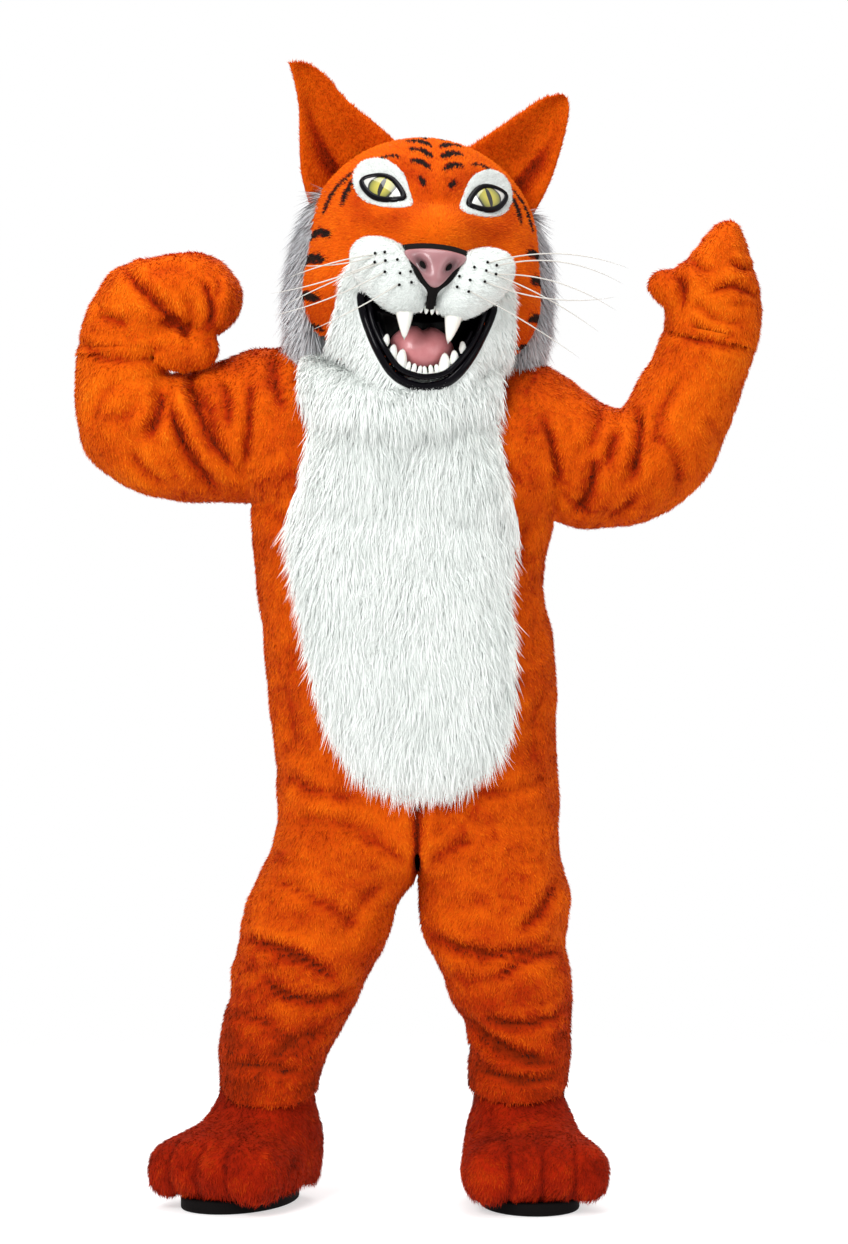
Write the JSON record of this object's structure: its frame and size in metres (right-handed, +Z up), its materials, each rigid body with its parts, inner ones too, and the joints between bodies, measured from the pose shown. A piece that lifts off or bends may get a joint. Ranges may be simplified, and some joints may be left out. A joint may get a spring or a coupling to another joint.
{
  "type": "tiger mascot costume",
  "caption": "Big-cat mascot costume filled out as worn: plush jumpsuit with a white fur bib, mitts, boots and an open-mouthed head.",
  "frame": {"origin": "between the shoulders, where the suit hangs on its wearer, 1480 mm above the floor", "axes": "+Z up, -Y the way the costume faces, +X towards the wearer's left hand"},
  "size_m": [1.1922, 0.482, 1.9771],
  "materials": {
    "orange_plush": "short plush pile, matt with a soft sheen",
    "rust_plush": "short plush pile, darker, matt",
    "white_fur": "white fur pile, matt",
    "grey_fur": "long silvery grey fur pile, matt",
    "gloss_black": "smooth gloss black",
    "nose_vinyl": "smooth satin mauve pink",
    "tongue_vinyl": "smooth satin pink",
    "tooth_plastic": "gloss ivory",
    "eye_plastic": "clear gloss over an olive iris",
    "whisker_nylon": "translucent white nylon",
    "sole_rubber": "matt black rubber"
  },
  "bodies": {
    "root": {"front_right": "orange_plush", "back_right": "orange_plush", "front_left": "orange_plush", "back_left": "orange_plush", "sleeve_right": "orange_plush", "sleeve_left": "orange_plush", "back_fly": "orange_plush", "leg_front_right": "orange_plush", "leg_back_right": "orange_plush", "leg_front_left": "orange_plush", "leg_back_left": "orange_plush", "mitt_right": "orange_plush", "mitt_left": "orange_plush", "head_shell": "orange_plush", "ear_right": "orange_plush", "ear_left": "orange_plush", "boot_right": "rust_plush", "boot_left": "rust_plush", "belly_bib": "white_fur", "muzzle_pad_right": "white_fur", "muzzle_pad_left": "white_fur", "eye_patch_right": "white_fur", "eye_patch_left": "white_fur", "jaw_fur": "white_fur", "throat_fur": "white_fur", "ruff_right": "grey_fur", "ruff_left": "grey_fur", "mouth_liner": "gloss_black", "mouth_lip": "gloss_black", "eye_rim_right": "gloss_black", "eye_rim_left": "gloss_black", "nose": "nose_vinyl", "tongue": "tongue_vinyl", "fang_right": "tooth_plastic", "fang_left": "tooth_plastic", "upper_teeth": "tooth_plastic", "lower_teeth": "tooth_plastic", "eye_right": "eye_plastic", "eye_left": "eye_plastic", "whisker_right_1": "whisker_nylon", "whisker_right_2": "whisker_nylon", "whisker_right_3": "whisker_nylon", "whisker_right_4": "whisker_nylon", "whisker_right_5": "whisker_nylon", "whisker_left_1": "whisker_nylon", "whisker_left_2": "whisker_nylon", "whisker_left_3": "whisker_nylon", "whisker_left_4": "whisker_nylon", "whisker_left_5": "whisker_nylon", "sole_right": "sole_rubber", "sole_left": "sole_rubber"}
  },
  "joints": []
}
